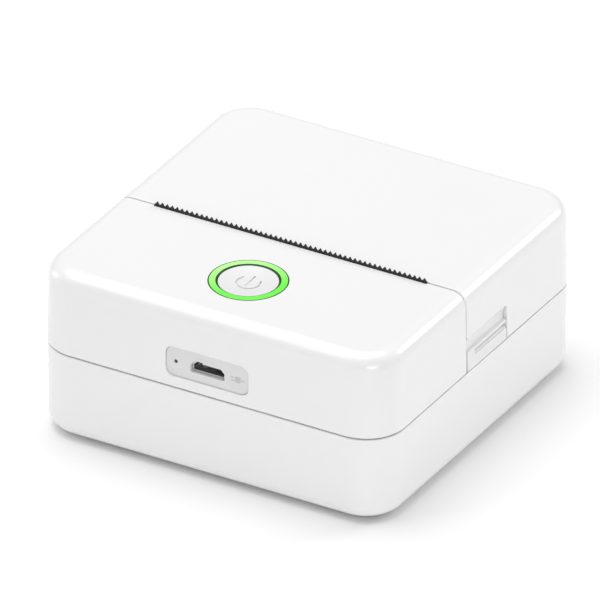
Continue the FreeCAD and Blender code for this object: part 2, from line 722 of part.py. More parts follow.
def make_port():
    front = number("panel_floor")
    body = start_body("bezel_plate")
    gap = "panel_gap"
    face = sketch_on(body, "bezel_face", "y", minus("panel_floor"))
    rounded_outline(face, ("-panel_width / 2 + " + gap, "panel_width / 2 - " + gap,
                           "panel_z - panel_height / 2 + " + gap, "panel_z + panel_height / 2 - " + gap),
                    "panel_radius - " + gap)
    extrude(body, "Pad", face, "case_wall - panel_sunk + 0.4", back=True)
    flange = sketch_on(body, "bezel_flange", "y", "half_depth - case_wall - 0.25")
    rounded_outline(flange,
                    ("-panel_width / 2 - 1", "panel_width / 2 + 1", "board_z + board_thickness + 0.05 - 3.2",
                             "panel_z + panel_height / 2 + 1"), "panel_radius")
    extrude(body, "Pad", flange, "0.5", back=True)
    mouth = shaped_tool("bezel_mouth", socket_prism(0.12, front - 1, 5))
    hole = cylinder("charge_bore", "y", ("-charge_offset", "panel_floor - 1", "panel_z"), "charge_radius",
                    "5")
    keep(cut("port_bezel", body, [mouth, hole]), "port_bezel")
    keep(cylinder("charge_lens", "y", ("-charge_offset", "panel_floor + charge_sunk", "panel_z"),
                  "charge_radius", "2.5"),
         "charge_lens")
    wall = number("usb_shell")
    length = number("usb_length")
    mouth = front + number("usb_sunk")
    shell = socket_prism(0, mouth, length).cut(socket_prism(-wall, mouth - 0.1, length - 0.9))
    half = number("usb_width") / 2 - 1.7
    tongue = Part.makeBox(2 * half, length - 1.6, 0.55, Vector(-half, mouth + 0.9, number("panel_z") - 0.05))
    shaped("usb_socket", shell.fuse(tongue))


def shaped_tool(name, shape):
    piece = doc.addObject("Part::Feature", name)
    piece.Shape = shape
    return piece


def make_tear_bar():
    """A black saw-toothed blade that stands up out of the split, with a foot under the cover's roof."""
    half = number("blade_half")
    back = number("cover_edge")
    thick = number("blade_thickness")
    low = number("roof_z - 1.9")
    valley = number("tip_z - tooth_height")
    tip = number("tip_z")
    pitch = number("tooth_pitch")
    points = [(-half, low), (half, low)]
    for index in range(int(number("tooth_count"))):
        right = half - index * pitch
        points += [(right, valley), (right - 0.15 * pitch, valley), (right - 0.44 * pitch, tip),
                   (right - 0.56 * pitch, tip), (right - 0.85 * pitch, valley)]
    points.append((-half, valley))
    points.append(points[0])
    blade = Part.Face(Part.makePolygon([Vector(x, back - thick, z) for x, z in points]))
    foot = Part.makeBox(2 * half, 3.4, 0.5, Vector(-half, back - 3.4, low))
    shaped("tear_bar", blade.extrude(Vector(0, thick, 0)).fuse(foot).removeSplitter())


make_fasteners()
make_button()
make_switch_board()
make_port()
make_tear_bar()


# Chassis and paper tub ---------------------------------------------------------------

def heading(angle):
    return math.cos(math.radians(angle)), math.sin(math.radians(angle))


def along_train(start, reach, angle):
    """The next gear's centre, reach away from start in the given direction."""
    across, up = heading(angle)
    return start[0] + reach * across, start[1] + reach * up


def train():
    """Centres of the platen, idler, compound and motor gears as (y, z) pairs."""
    size = number("gear_module") / 2
    platen = (number("platen_y"), number("platen_z"))
    arm = (platen[0] - number("hinge_y"), platen[1] - number("hinge_z"))
    lift = math.degrees(math.atan2(arm[1], arm[0])) - 90
    idler = along_train(platen, size * number("platen_teeth + idler_teeth"), lift + 180)
    compound = along_train(idler, size * number("idler_teeth + pinion_teeth"), number("compound_direction"))
    motor = along_train(compound, size * number("wheel_teeth + pinion_teeth"), number("motor_direction"))
    return {"platen": platen, "idler": idler, "compound": compound, "motor": motor}


CENTRES = train()
MOTOR_TILT = 50


def spot(name):
    return tuple("%.6f" % value for value in CENTRES[name])


def make_chassis():
    wall = "plate_outer - plate_inner"
    front = "platen_y - bush_radius - 0.15"
    motor_y, motor_z = spot("motor")
    back = "platen_y + 5.85"
    solid = [box("cross_wall", ("-plate_outer", "wall_front", "seam_z - 6.4"),
                 ("2 * plate_outer", "1", "18.8"))]
    waste = []
    for side, low_x, depth in (("right", "plate_inner", "wall_front"),
                               ("left", "-plate_outer", "wall_front - 15.5")):
        solid.append(box("plate_low_" + side, (low_x, depth, "plate_low"),
                         (wall, back + " - (%s)" % depth, "seam_z + 0.4 - plate_low")))
        solid.append(box("plate_mid_" + side, (low_x, "wall_front", "seam_z - 0.1"),
                         (wall, back + " - wall_front", "platen_up + 0.1")))
        solid.append(box("plate_horn_" + side, (low_x, "wall_front", "platen_z - 1"),
                         (wall, front + " - wall_front", "5.6")))
        waste.append(cylinder("saddle_" + side, "x", (low_x + " - 1", "platen_y", "platen_z"),
                              "bush_radius + 0.1", wall + " + 2"))
        waste.append(cylinder("pivot_hole_" + side, "x", (low_x + " - 1", "pivot_y", "pivot_z"),
                              "pivot_radius", wall + " + 2"))
    solid.append(box("motor_plate", ("-plate_outer", "wall_front - 15.5", "seam_z - 0.6"),
                     (wall, "15.5", "3.6")))
    solid.append(box("latch_catch", ("plate_outer - 0.1", "platen_y - 1.15", "seam_z - 2.9"),
                     ("catch_x - plate_outer", "7", "1.2")))
    tab = "floor_z + 2"
    for name, low_x, reach in (("right", "plate_inner - 5.6", "8.4"), ("left", "-plate_inner - 0.1", "14.6")):
        low_y = "platen_y + 2.25 - " + reach
        solid.append(box("tab_" + name, (low_x, low_y, tab), ("5.7", reach, "1.2")))
    for index, (x, y) in enumerate(CHASSIS_POSTS):
        waste.append(cylinder("tab_hole_%d" % index, "z", (x, y, "floor_z"), "screw_radius + 0.1", "6"))
    waste.append(cylinder("shaft_hole", "x", ("-plate_outer - 1", motor_y, motor_z), "1.2", "4"))
    waste.append(box("ribbon_slot", ("-9", "wall_front - 1.5", "board_z + board_thickness"),
                     ("18", "4", "1.6")))
    for name in ("idler", "compound"):
        waste.append(cylinder(name + "_pin_hole", "x", ("-plate_outer - 1",) + spot(name), "0.9", "4"))
    for index, (y, z) in enumerate(motor_screw_spots()):
        waste.append(cylinder("motor_hole_%d" % index, "x", ("-plate_outer - 1", y, z), "1.05", "4"))
        waste.append(cylinder("motor_sink_%d" % index, "x", ("-plate_outer - 0.1", y, z), "1.6", "0.75"))
    keep(cut("chassis", fuse("chassis_solid", solid), waste), "chassis")
    pins = [cylinder(name + "_pin", "x", (start,) + spot(name), "0.9", "(%s) - plate_inner" % minus(start))
            for name, start in (("idler", "-far_layer - 0.4"), ("compound", "-far_layer - gear_width - 0.6"))]
    keep(fuse("gear_pins", pins), "gear_pins")
    keep(cylinder("head_pivot_pin", "x", ("-plate_outer", "pivot_y", "pivot_z"), "pivot_radius",
                  "2 * plate_outer"),
         "head_pivot_pin")


def motor_screw_spots():
    y, z = CENTRES["motor"]
    across, up = heading(MOTOR_TILT)
    reach = number("motor_ear_reach")
    return [("%.6f" % (y + way * reach * across), "%.6f" % (z + way * reach * up)) for way in (1, -1)]


def make_motor():
    y, z = spot("motor")
    ears = [cylinder("motor_ear_%d" % i, "x", ("-plate_inner", ey, ez), "motor_ear_radius", "0.8")
            for i, (ey, ez) in enumerate(motor_screw_spots())]
    strap = doc.addObject("Part::Box", "motor_strap")
    bind(strap, {"Length": "0.8", "Width": "2 * motor_ear_reach", "Height": "2 * motor_ear_radius"})
    seat = Placement(Vector(-number("plate_inner"), *CENTRES["motor"]), Rotation(Vector(1, 0, 0), MOTOR_TILT))
    strap.Placement = seat.multiply(Placement(Vector(0, -number("motor_ear_reach"),
                                                     -number("motor_ear_radius")),
                                              Rotation()))
    can = cylinder("motor_can", "x", ("-plate_inner", y, z), "motor_radius", "motor_length")
    waste = [cylinder("motor_bore", "x", ("-plate_inner - 1", y, z), "0.8", "motor_length + 2")]
    for index, (ey, ez) in enumerate(motor_screw_spots()):
        waste.append(cylinder("ear_hole_%d" % index, "x", ("-plate_inner - 1", ey, ez), "1", "3"))
    keep(cut("motor_case", fuse("motor_solid", [can, strap] + ears), waste), "motor_case")
    keep(cylinder("motor_shaft", "x", ("-far_layer - gear_width", y, z), "0.75",
                  "far_layer + gear_width - plate_inner + motor_length + 0.4"), "motor_shaft")
    screws = [fuse("motor_screw_%d" % i, [
        cylinder("motor_screw_head_%d" % i, "x", ("-plate_outer", ey, ez), "1.5", "0.6"),
        cylinder("motor_screw_shank_%d" % i, "x", ("-plate_outer", ey, ez), "1", "2.6")])
        for i, (ey, ez) in enumerate(motor_screw_spots())]
    keep(fuse("motor_screws", screws), "motor_screws")


def make_tub():
    outer = cylinder("tub_outer", "x", ("-tub_half", "tub_y", "tub_z"), "tub_radius + tub_wall",
                     "2 * tub_half")
    inner = cylinder("tub_inner", "x", ("-tub_half + tub_wall", "tub_y", "tub_z"), "tub_radius",
                     "2 * (tub_half - tub_wall)")
    above = box("tub_above", ("-40", "-10", "tub_z"), ("80", "60", "20"))
    trough = cut("tub_trough", outer, [inner, above])
    shelf = box("paper_shelf", ("-tub_half + 1", "-5.8", "tub_z - 1"),
                ("2 * tub_half - 2", "tub_y - tub_radius + 5.3", "1"))
    solid = [trough, shelf]
    waste = []
    for name, (x, y) in zip(("right", "left"), mirrored_pair(BACK_BOSS)):
        reach = BACK_BOSS[0] + " + 2.8 - tub_half + tub_wall"
        low_x = "tub_half - tub_wall" if name == "right" else "-tub_half + tub_wall - (%s)" % reach
        solid.append(box("tub_ear_" + name, (low_x, "tub_y + 11.5", JOIN_Z),
                         (reach, y + " + 3 - tub_y - 11.5", "1.4")))
        waste.append(cylinder("ear_pilot_" + name, "z", (x, y, "floor_z"), "screw_radius", "20"))
    for name, x in (("right", "18"), ("left", "-20")):
        solid.append(box("tub_foot_" + name, (x, "tub_y - 5", "floor_z"),
                         ("2", "10", "tub_z - tub_radius - floor_z - 0.1")))
    keep(cut("paper_tub", fuse("tub_solid", solid), waste), "paper_tub")
    keep(box("paper_sensor", ("6", "-4.2", "tub_z"), ("6", "3.6", "1.8")), "paper_sensor")


# Print head --------------------------------------------------------------------------

def coil(centre, axis, radius, wire, length, turns):
    """A compression spring of eight-sided wire on a helix; centre is the middle of its first end."""
    helix = Part.makeHelix(length / turns, length, radius)
    slope = math.atan2(length / turns, 2 * math.pi * radius)
    outward = Vector(1, 0, 0)
    upward = Vector(0, -math.sin(slope), math.cos(slope))
    section = []
    for side in range(9):
        across, up = heading(45 * side)
        section.append(outward * (radius + wire * across) + upward * (wire * up))
    shape = Part.Wire(helix).makePipeShell([Part.makePolygon(section)], True, True)
    shape.Placement = Placement(centre, TURNS[axis])
    return shape


def make_head():
    back = "head_face - ceramic_thickness"
    lugs = []
    waste = []
    for side, low_x in (("right", "head_half - 1.5"), ("left", "-head_half - 1")):
        lugs.append(box("head_lug_" + side, (low_x, "pivot_y - 1.5", "pivot_z - 1.5"), ("2.5", "3", "3.2")))
        waste.append(cylinder("head_bore_" + side, "x", (low_x + " - 1", "pivot_y", "pivot_z"),
                              "pivot_radius + running_gap", "4.5"))
    plate = box("sink_plate", ("-head_half - 2", back + " - sink_thickness", "head_low"),
                ("2 * head_half + 4", "sink_thickness", "head_tall"))
    keep(cut("head_sink", fuse("sink_solid", [plate] + lugs), waste), "head_sink")
    low = "head_low + 1.9"
    keep(box("head_ceramic", ("-head_half", back, low), ("2 * head_half", "ceramic_thickness", "8")),
         "head_ceramic")
    keep(box("head_cap", ("-head_half + 1", "head_face", low), ("2 * head_half - 2", "0.75", "1.1")),
         "head_cap")
    start = number("head_face - ceramic_thickness - sink_thickness - 0.45")
    seat = number("wall_front + 1.2")
    coils = [coil(Vector(way * number("spring_offset"), seat, number("spring_z")), "y", 1.7, 0.22,
                  start - seat - 0.25, 4) for way in (-1, 1)]
    shaped("head_springs", Part.makeCompound(coils))
    drop = number("board_z + board_thickness + 0.1")
    turn, face = number("wall_front + 3.9"), number("head_face - 0.45")
    rise, end = number("seam_z - 0.6"), number("head_low + 1.7")
    line = [(turn - 8.4, drop), (turn, drop), (turn, rise), (face, rise), (face, end)]
    strips = []
    for (ay, az), (by, bz) in zip(line, line[1:]):
        low = Vector(-7, min(ay, by), min(az, bz))
        strips.append(Part.makeBox(14, abs(ay - by) + 0.2, abs(az - bz) + 0.2, low))
    shaped("head_ribbon", strips[0].multiFuse(strips[1:]).removeSplitter())


# Gears -------------------------------------------------------------------------------

BACKLASH = 0.08


def gear_face(teeth, centre, phase):
    """An involute outline in the YZ plane; a tooth's middle points along phase, in degrees."""
    module = number("gear_module")
    pitch = module * teeth / 2
    base = pitch * math.cos(math.radians(20))
    tip = pitch + 0.8 * module
    root = pitch - 1.05 * module
    half = (math.pi * module / 2 - BACKLASH) / (2 * pitch)

    def spread(radius):
        inside = math.acos(min(1.0, base / max(radius, base)))
        return half + math.tan(math.radians(20)) - math.radians(20) - (math.tan(inside) - inside)

    def at(radius, angle):
        return Vector(0, centre[0] + radius * math.cos(angle), centre[1] + radius * math.sin(angle))

    edges = []
    low = max(root, base)
    middle = (low + tip) / 2
    step = 2 * math.pi / teeth
    for index in range(int(teeth)):
        turn = math.radians(phase) + index * step
        sides = {}
        for way in (-1, 1):
            sides[way] = [at(root, turn + way * spread(low)), at(low, turn + way * spread(low)),
                          at(middle, turn + way * spread(middle)), at(tip, turn + way * spread(tip))]
        foot, start, bend, top = sides[-1]
        if low > root + 1e-6:
            edges.append(Part.LineSegment(foot, start).toShape())
        edges.append(Part.Arc(start, bend, top).toShape())
        edges.append(Part.Arc(top, at(tip, turn), sides[1][3]).toShape())
        foot, start, bend, end = sides[1]
        edges.append(Part.Arc(end, bend, start).toShape())
        if low > root + 1e-6:
            edges.append(Part.LineSegment(start, foot).toShape())
        after = at(root, turn + step - spread(low))
        edges.append(Part.Arc(foot, at(root, turn + step / 2), after).toShape())
    return Part.Face(Part.Wire(edges))


def gear(teeth, name, phase, outer_x, width, bore):
    """A gear on the left side, from outer_x towards the middle."""
    centre = CENTRES[name]
    solid = gear_face(teeth, centre, phase).extrude(Vector(width, 0, 0))
    solid.translate(Vector(-outer_x, 0, 0))
    hole = Part.makeCylinder(bore, width + 2, Vector(-outer_x - 1, *centre), Vector(1, 0, 0))
    return solid.cut(hole)


def meshing_phase(teeth, phase, name, other_teeth, other_name):
    """The phase of the second gear, so that its gap meets the first gear's tooth on their centre line."""
    (ay, az), (by, bz) = CENTRES[name], CENTRES[other_name]
    line = math.degrees(math.atan2(bz - az, by - ay))
    share = (line - phase) * teeth / 360
    return line + 180 - (0.5 - share) * 360 / other_teeth


def make_gears():
    width = number("gear_width")
    near = number("near_layer") + width
    far = number("far_layer") + width
    teeth = {word: number(word + "_teeth") for word in ("platen", "idler", "wheel", "pinion")}
    pin = 0.9 + number("running_gap")
    shaft = number("shaft_radius")
    shaped("platen_gear", gear(teeth["platen"], "platen", 0, near, width, shaft))
    phase = meshing_phase(teeth["platen"], 0, "platen", teeth["idler"], "idler")
    shaped("idler_gear", gear(teeth["idler"], "idler", phase, near, width, pin))
    phase = meshing_phase(teeth["idler"], phase, "idler", teeth["pinion"], "compound")
    small = gear(teeth["pinion"], "compound", phase, near, width + 0.5, pin)
    small.translate(Vector(-0.45, 0, 0))
    wheel = gear(teeth["wheel"], "compound", phase, far, width, pin)
    shaped("compound_gear", small.fuse(wheel).removeSplitter())
    phase = meshing_phase(teeth["wheel"], phase, "compound", teeth["pinion"], "motor")
    shaped("motor_pinion", gear(teeth["pinion"], "motor", phase, far, width, 0.75))


# Platen and lid frame ----------------------------------------------------------------

def make_platen():
    seat = ("platen_y", "platen_z")
    shaft_start = "-near_layer - gear_width"
    keep(cylinder("platen_shaft", "x", (shaft_start,) + seat, "shaft_radius",
                  "near_layer + gear_width + plate_outer - 0.1"), "platen_shaft")
    rubber = cylinder("rubber_outer", "x", ("-platen_length / 2",) + seat, "platen_radius", "platen_length")
    bore = cylinder("rubber_bore", "x", ("-platen_length / 2 - 1",) + seat, "shaft_radius",
                    "platen_length + 2")
    keep(cut("platen_roller", rubber, [bore]), "platen_roller")
    rings = []
    for side, low_x in (("right", "arm_outer"), ("left", "-plate_outer + 0.05")):
        rings.append(cylinder("bush_ring_" + side, "x", (low_x,) + seat, "bush_radius",
                              "plate_outer - arm_outer - 0.05"))
    hole = cylinder("bush_bore", "x", ("-40",) + seat, "shaft_radius + running_gap", "80")
    keep(cut("platen_bushes", fuse("bush_rings", rings), [hole]), "platen_bushes")

    arm = "arm_outer - arm_inner"
    solid = [box("frame_bar", ("-arm_outer", "platen_y - 3", "roof_z - 2.2"),
                 ("2 * arm_outer", "10.2", "2.2"))]
    for side, low_x in (("right", "arm_inner"), ("left", "-arm_outer")):
        solid.append(cylinder("arm_eye_" + side, "x", (low_x,) + seat, "3", arm))
        solid.append(box("arm_web_" + side, (low_x, "platen_y - 3", "platen_z"),
                         (arm, "6", "roof_z - platen_z - 1")))
    waste = [cylinder("arm_bore", "x", ("-40",) + seat, "shaft_radius + running_gap", "80")]
    for index, (x, y) in enumerate(FRAME_SCREWS):
        waste.append(cylinder("frame_hole_%d" % index, "z", (x, y, "roof_z - 3"), "small_screw + 0.1", "4"))
    keep(cut("lid_frame", fuse("frame_solid", solid), waste), "lid_frame")


# Latch on the right side -------------------------------------------------------------

def lofted(points, front, depth):
    """A prism along Y from points in the XZ plane."""
    corners = [Vector(x, front, z) for x, z in points]
    return Part.Face(Part.makePolygon(corners + corners[:1])).extrude(Vector(0, depth, 0))


def make_latch():
    """A finger latch: a ledge with a groove over and under it, hung on a pin, with a hook below the rim."""
    side = number("half_width")
    seam = number("seam_z")
    pivot = number("latch_pivot_x")
    pivot_z = number("latch_pivot_z")
    front = number("lid_edge + latch_gap")
    back = number("latch_back - latch_gap")
    top = number("latch_window - latch_gap")
    rim = number("seam_z + seam_gap / 2")

    def at(inset, height):
        return Vector(side - inset, front, height)

    stages = [at(2.8, rim), at(0.1, rim), at(0.14, seam + 4.25), at(0.34, seam + 4.5), at(0.8, seam + 4.78),
              at(0.3, top), at(2.8, top)]
    bends = {2: at(0.19, seam + 4.4), 4: at(0.86, seam + 6.1)}
    edges = []
    for index, start in enumerate(stages):
        end = stages[(index + 1) % len(stages)]
        curve = Part.Arc(start, bends[index], end) if index in bends else Part.LineSegment(start, end)
        edges.append(curve.toShape())
    block = Part.Face(Part.Wire(edges)).extrude(Vector(0, back - front, 0))
    frame = Part.makeBox(8, back - front + 4, top - seam + 4, Vector(side - 4, front - 4, seam - 4))
    corner = [edge for edge in frame.Edges
              if abs(edge.CenterOfMass.y - back) < 0.01 and abs(edge.CenterOfMass.z - top) < 0.01]
    block = block.common(frame.makeFillet(number("latch_corner - latch_gap"), corner))
    nail = [(side + 1, seam + 2.7), (side - 0.3, seam + 2.7), (side - 0.4, seam + 3.1),
            (side - 1.1, seam + 3.35),
            (side - 1.1, seam + 3.75), (side - 0.22, seam + 4.03), (side + 1, seam + 4.1)]
    block = block.cut(lofted(nail, front + number("latch_smooth"), back - front))
    arm_front = number("lid_edge + 1.5")
    arm_depth = number("latch_back - 1.4") - arm_front
    inner = pivot - 0.3
    outer = side - 3.1
    catch = number("catch_x")
    arm = lofted([(inner, pivot_z), (inner, seam - 3.2), (catch, seam - 3.2), (catch, seam - 4.4),
                  (outer - 0.2, seam - 4.4), (outer - 0.2, seam), (outer + 0.5, seam + 0.35), (outer + 0.5,
                                                                                               pivot_z)],
                 arm_front, arm_depth)
    knuckle = Part.makeCylinder(1.35, arm_depth, Vector(pivot, arm_front, pivot_z), Vector(0, 1, 0))
    bore = Part.makeCylinder(number("latch_pin_radius + running_gap"), arm_depth + 2,
                             Vector(pivot, arm_front - 1, pivot_z), Vector(0, 1, 0))
    shaped("release_lever", block.fuse([arm, knuckle]).cut(bore).removeSplitter())
    keep(cylinder("latch_pin", "y", ("latch_pivot_x", "lid_edge + 0.2", "latch_pivot_z"), "latch_pin_radius",
                  "latch_back - lid_edge - 0.3"), "latch_pin")


# Boards and battery ------------------------------------------------------------------

def make_electronics():
    board = box("board_blank", ("-board_half", "board_front", "board_z"),
                ("2 * board_half", "-board_back - board_front", "board_thickness"))
    holes = [cylinder("board_hole_%d" % i, "z", (x, y, "board_z - 1"), "small_screw + 0.1", "4")
             for i, (x, y) in enumerate(BOARD_POSTS)]
    keep(cut("main_board", board, holes), "main_board")
    top = "board_z + board_thickness"
    chips = [box("processor", ("-19", "-31", top), ("7", "7", "0.9")),
             box("driver_chip", ("11", "-30", top), ("5", "4", "1")),
             box("charge_coil", ("12", "-24", top), ("4", "4", "1.8")),
             box("radio_can", ("-20", "-22.5", top), ("9", "5", "1.2")),
             box("ribbon_clamp", ("-8.5", "-20.6", top), ("17", "1.5", "1.6"))]
    keep(fuse("board_chips", chips), "board_chips")
    keep(box("battery_pad", ("-battery_left", "battery_front", "floor_z"),
             ("battery_width", "battery_depth", "0.3")), "battery_pad")
    cell = box("battery_block", ("-battery_left", "battery_front", "floor_z + 0.3"),
               ("battery_width", "battery_depth", "battery_height"))
    keep(softened(cell, 1.5, lambda edge: abs(edge.Vertexes[0].X - edge.Vertexes[1].X) > 1), "battery")


make_chassis()
make_motor()
make_tub()
make_head()
make_gears()
make_platen()
make_latch()
make_electronics()


# Check every object, then write the parts --------------------------------------------

doc.recompute()
faults = [item.Label for item in doc.Objects if set(item.State) & {"Invalid", "Error"}]
if faults:
    raise RuntimeError("failed objects: " + ", ".join(faults))
for piece in nodes:
    if piece.Shape.isNull() or not piece.Shape.isValid() or not piece.Shape.Solids:
        raise RuntimeError("bad shape: " + piece.Label)
os.makedirs("parts", exist_ok=True)
for piece in nodes:
    piece.Shape.exportStep("parts/%s.step" % piece.Label)
    print(piece.Label, len(piece.Shape.Solids), round(piece.Shape.Volume, 1))
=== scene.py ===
import json
import math

import bmesh
import bpy
from mathutils import Matrix, Vector


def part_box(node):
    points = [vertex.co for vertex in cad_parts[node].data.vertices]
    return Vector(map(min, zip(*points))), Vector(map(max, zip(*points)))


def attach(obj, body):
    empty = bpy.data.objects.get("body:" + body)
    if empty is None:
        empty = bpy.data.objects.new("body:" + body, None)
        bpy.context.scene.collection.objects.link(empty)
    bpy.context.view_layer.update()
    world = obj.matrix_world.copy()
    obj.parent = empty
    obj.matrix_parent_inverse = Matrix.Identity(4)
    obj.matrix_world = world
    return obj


# Pocket label printer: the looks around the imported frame. Metres, +Z up, front face towards -Y.

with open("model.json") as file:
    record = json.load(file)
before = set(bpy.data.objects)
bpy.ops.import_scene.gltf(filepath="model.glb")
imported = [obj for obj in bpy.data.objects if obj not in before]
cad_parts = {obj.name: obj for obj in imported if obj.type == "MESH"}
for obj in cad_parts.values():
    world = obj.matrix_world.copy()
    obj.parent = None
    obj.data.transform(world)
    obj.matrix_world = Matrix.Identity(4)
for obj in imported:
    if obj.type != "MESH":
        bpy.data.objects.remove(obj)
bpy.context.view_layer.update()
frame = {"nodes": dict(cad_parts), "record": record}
record = frame["record"]
nodes = frame["nodes"]
scene = bpy.context.scene
MM = 0.001


# Camera, floor and light -------------------------------------------------------------

VIEW_AZIMUTH = math.radians(30.0)
VIEW_ELEVATION = math.radians(29.96)
VIEW_DISTANCE = 4.959
LENS = 1500.0
AIM_RIGHT = -1.543 * MM
AIM_UP = 18.054 * MM


def view_axes(azimuth, elevation):
    """The camera's right, up and backward directions."""
    right = Vector((math.cos(azimuth), math.sin(azimuth), 0))
    back = Vector((math.sin(azimuth) * math.cos(elevation), -math.cos(azimuth) * math.cos(elevation),
                   math.sin(elevation)))
    return right, back.cross(right), back


def make_camera():
    right, up, back = view_axes(VIEW_AZIMUTH, VIEW_ELEVATION)
    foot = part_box("base_case")[0].z
    data = bpy.data.cameras.new("camera")
    data.lens = LENS
    data.clip_start = 1.0
    data.clip_end = 20.0
    camera = bpy.data.objects.new("camera", data)
    scene.collection.objects.link(camera)
    camera.location = Vector((0, 0, foot)) + right * AIM_RIGHT + up * AIM_UP + back * VIEW_DISTANCE
    camera.rotation_mode = "QUATERNION"
    camera.rotation_quaternion = (-back).to_track_quat("-Z", "Y")
    scene.camera = camera


def area_light(name, place, size, power, target=(0, 0, 0.02)):
    data = bpy.data.lights.new(name, "AREA")
    data.shape = "RECTANGLE"
    data.size, data.size_y = size
    data.energy = power
    light = bpy.data.objects.new(name, data)
    scene.collection.objects.link(light)
    light.location = place
    light.rotation_euler = (Vector(place) - Vector(target)).to_track_quat("Z", "Y").to_euler()
    return light


# Each light: name, place, size and power.
LIGHTS = (
    ("overhead", (-0.12, 0.04, 0.68), (0.7, 0.7), 3.95),
    ("front_edge", (-0.35, -0.40, 0.60), (0.2, 0.2), 0.4),
    ("back_edge", (0.40, 0.60, 0.35), (0.25, 0.25), 1.3),
    ("corner_wash", (0.58, -0.58, 0.16), (0.35, 0.3), 1.75),
    ("left_wash", (-0.80, -0.15, 0.15), (0.3, 0.3), 0.9),
)
SKY_STRENGTH = 0.335
FLOOR_SIZE = 8


def make_stage():
    scene.view_settings.view_transform = "Standard"
    world = bpy.data.worlds.new("studio")
    scene.world = world
    world.use_nodes = True
    sky = world.node_tree.nodes["Background"]
    sky.inputs["Color"].default_value = (1.0, 1.0, 1.0, 1.0)
    sky.inputs["Strength"].default_value = SKY_STRENGTH
    for name, place, size, power in LIGHTS:
        area_light(name, place, size, power)
    bpy.ops.mesh.primitive_plane_add(size=FLOOR_SIZE, location=(0, 0, 0))
    floor = bpy.context.object
    floor.name = "floor"
    floor.data.materials.append(floor_material())


# Node helpers ------------------------------------------------------------------------

def new_group(name, inputs, outputs):
    """An empty shader group with named sockets; gives the group, its input node and its output node."""
    group = bpy.data.node_groups.new(name, "ShaderNodeTree")
    for label, kind, value in inputs:
        socket = group.interface.new_socket(name=label, in_out="INPUT", socket_type="NodeSocket" + kind)
        socket.default_value = value
    for label, kind in outputs:
        group.interface.new_socket(name=label, in_out="OUTPUT", socket_type="NodeSocket" + kind)
    return group, group.nodes.new("NodeGroupInput"), group.nodes.new("NodeGroupOutput")


def node(tree, kind, inputs=None, **settings):
    """A shader node with its settings and inputs; an input given a socket is linked to it."""
    made = tree.nodes.new("ShaderNode" + kind)
    for word, value in settings.items():
        setattr(made, word, value)
    for key, value in (inputs or {}).items():
        if isinstance(value, bpy.types.NodeSocket):
            tree.links.new(value, made.inputs[key])
        else:
            made.inputs[key].default_value = value
    return made


def moulded_group():
    """Moulded plastic: faint cloudiness in the colour, an even fine grain and a changing polish."""
    group, given, made = new_group("moulded_finish", [
        ("Tint", "Color", (0.9, 0.9, 0.9, 1)), ("Cloud", "Float", 0.02), ("Grain Scale", "Float", 3500.0),
        ("Grain Depth", "Float", 0.02), ("Polish", "Float", 0.3), ("Polish Spread", "Float", 0.05),
    ], [("Color", "Color"), ("Roughness", "Float"), ("Normal", "Vector")])
    place = node(group, "TexCoord").outputs["Object"]
    cloud = node(group, "TexNoise", {"Vector": place, "Scale": 45.0, "Detail": 3.0})
    grain = node(group, "TexNoise", {"Vector": place, "Scale": given.outputs["Grain Scale"], "Detail": 2.0})
    shade = node(group, "Math", {0: cloud.outputs["Fac"], 1: given.outputs["Cloud"]}, operation="MULTIPLY")
    dim = node(group, "Math", {0: 1.0, 1: shade.outputs[0]}, operation="SUBTRACT")
    tint = node(group, "VectorMath", {0: given.outputs["Tint"]}, operation="SCALE")
    group.links.new(dim.outputs[0], tint.inputs["Scale"])
    group.links.new(tint.outputs[0], made.inputs["Color"])
    blur = node(group, "TexNoise", {"Vector": place, "Scale": 110.0, "Detail": 4.0})
    rough = node(group, "Math", {0: blur.outputs["Fac"], 1: given.outputs["Polish Spread"],
                                 2: given.outputs["Polish"]}, operation="MULTIPLY_ADD")
    group.links.new(rough.outputs[0], made.inputs["Roughness"])
    bump = node(group, "Bump", {"Height": grain.outputs["Fac"], "Strength": given.outputs["Grain Depth"],
                                "Distance": 0.0001})
    group.links.new(bump.outputs[0], made.inputs["Normal"])
    return group


def metal_group():
    """Worked metal: scratches along one axis, over a slow change of tone."""
    group, given, made = new_group("worked_metal", [
        ("Tint", "Color", (0.7, 0.7, 0.7, 1)), ("Scratch", "Vector", (40.0, 4000.0, 4000.0)),
        ("Scratch Depth", "Float", 0.1), ("Polish", "Float", 0.25), ("Polish Spread", "Float", 0.15),
    ], [("Color", "Color"), ("Roughness", "Float"), ("Normal", "Vector")])
    place = node(group, "TexCoord").outputs["Object"]
    drawn = node(group, "VectorMath", {0: place, 1: given.outputs["Scratch"]}, operation="MULTIPLY")
    lines = node(group, "TexNoise", {"Vector": drawn.outputs[0], "Scale": 1.0, "Detail": 3.0})
    tone = node(group, "TexNoise", {"Vector": place, "Scale": 130.0, "Detail": 2.0})
    shade = node(group, "Math", {0: tone.outputs["Fac"], 1: 0.22, 2: 0.88}, operation="MULTIPLY_ADD")
    tint = node(group, "VectorMath", {0: given.outputs["Tint"]}, operation="SCALE")
    group.links.new(shade.outputs[0], tint.inputs["Scale"])
    group.links.new(tint.outputs[0], made.inputs["Color"])
    rough = node(group, "Math", {0: lines.outputs["Fac"], 1: given.outputs["Polish Spread"],
                                 2: given.outputs["Polish"]}, operation="MULTIPLY_ADD")
    group.links.new(rough.outputs[0], made.inputs["Roughness"])
    bump = node(group, "Bump", {"Height": lines.outputs["Fac"], "Strength": given.outputs["Scratch Depth"],
                                "Distance": 0.0001})
    group.links.new(bump.outputs[0], made.inputs["Normal"])
    return group


MOULDED = moulded_group()
METAL = metal_group()


def new_material(name):
    """A material with its tree and its principled shader."""
    material = bpy.data.materials.new(name)
    material.use_nodes = True
    tree = material.node_tree
    return material, tree, tree.nodes["Principled BSDF"]


